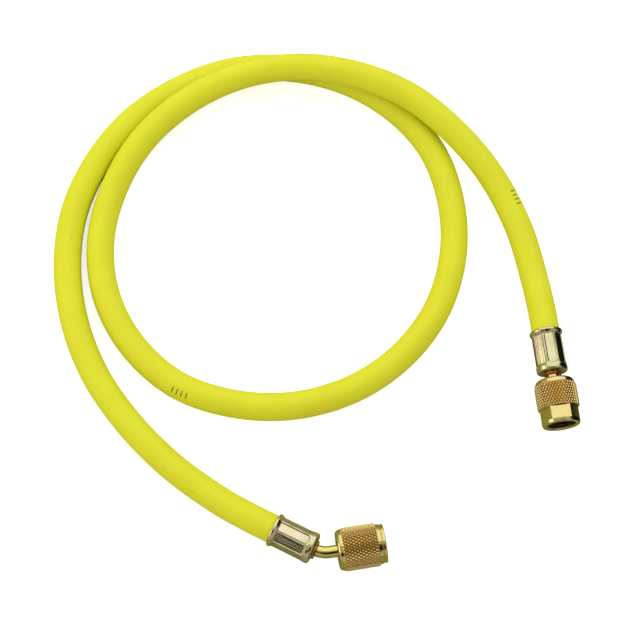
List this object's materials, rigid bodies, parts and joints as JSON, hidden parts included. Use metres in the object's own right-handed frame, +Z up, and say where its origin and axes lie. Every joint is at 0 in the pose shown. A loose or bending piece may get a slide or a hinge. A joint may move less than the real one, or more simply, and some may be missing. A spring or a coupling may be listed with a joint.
{
  "type": "refrigerant charging hose",
  "caption": "Flexible yellow rubber charging hose with crimped ferrules and knurled brass swivel nuts, one end straight and the other on a bent stem, laid in a single loop.",
  "frame": {"origin": "middle of the laid-out hose's outline, on the floor that it lies on", "axes": "+Z up from the floor, +Y away from the two free ends, +X towards the straight end"},
  "size_m": [0.2015, 0.2129, 0.022],
  "materials": {
    "hose_rubber": "matt, smooth, faint scuffs",
    "plated_steel": "yellow-passivated zinc, bright",
    "brass": "turned and knurled, bright",
    "seal_rubber": "matt black"
  },
  "bodies": {
    "hose_line": {"hose": "hose_rubber", "ferrule_a": "plated_steel", "ferrule_b": "plated_steel", "stem_a": "brass", "stem_b": "brass", "gasket_a": "seal_rubber", "gasket_b": "seal_rubber", "core_depressor": "brass"},
    "swivel_a": {"nut_a": "brass"},
    "swivel_b": {"nut_b": "brass"}
  },
  "joints": [
    {"name": "nut_a_spin", "type": "hinge", "parent": "hose_line", "child": "swivel_a", "pos_m": [0.00969, -0.09853, 0.00795], "axis": [0.9871, 0.1599, 0], "continuous": true},
    {"name": "nut_b_spin", "type": "hinge", "parent": "hose_line", "child": "swivel_b", "pos_m": [0.09184, -0.03362, 0.00795], "axis": [0.1132, -0.9936, 0], "continuous": true}
  ]
}
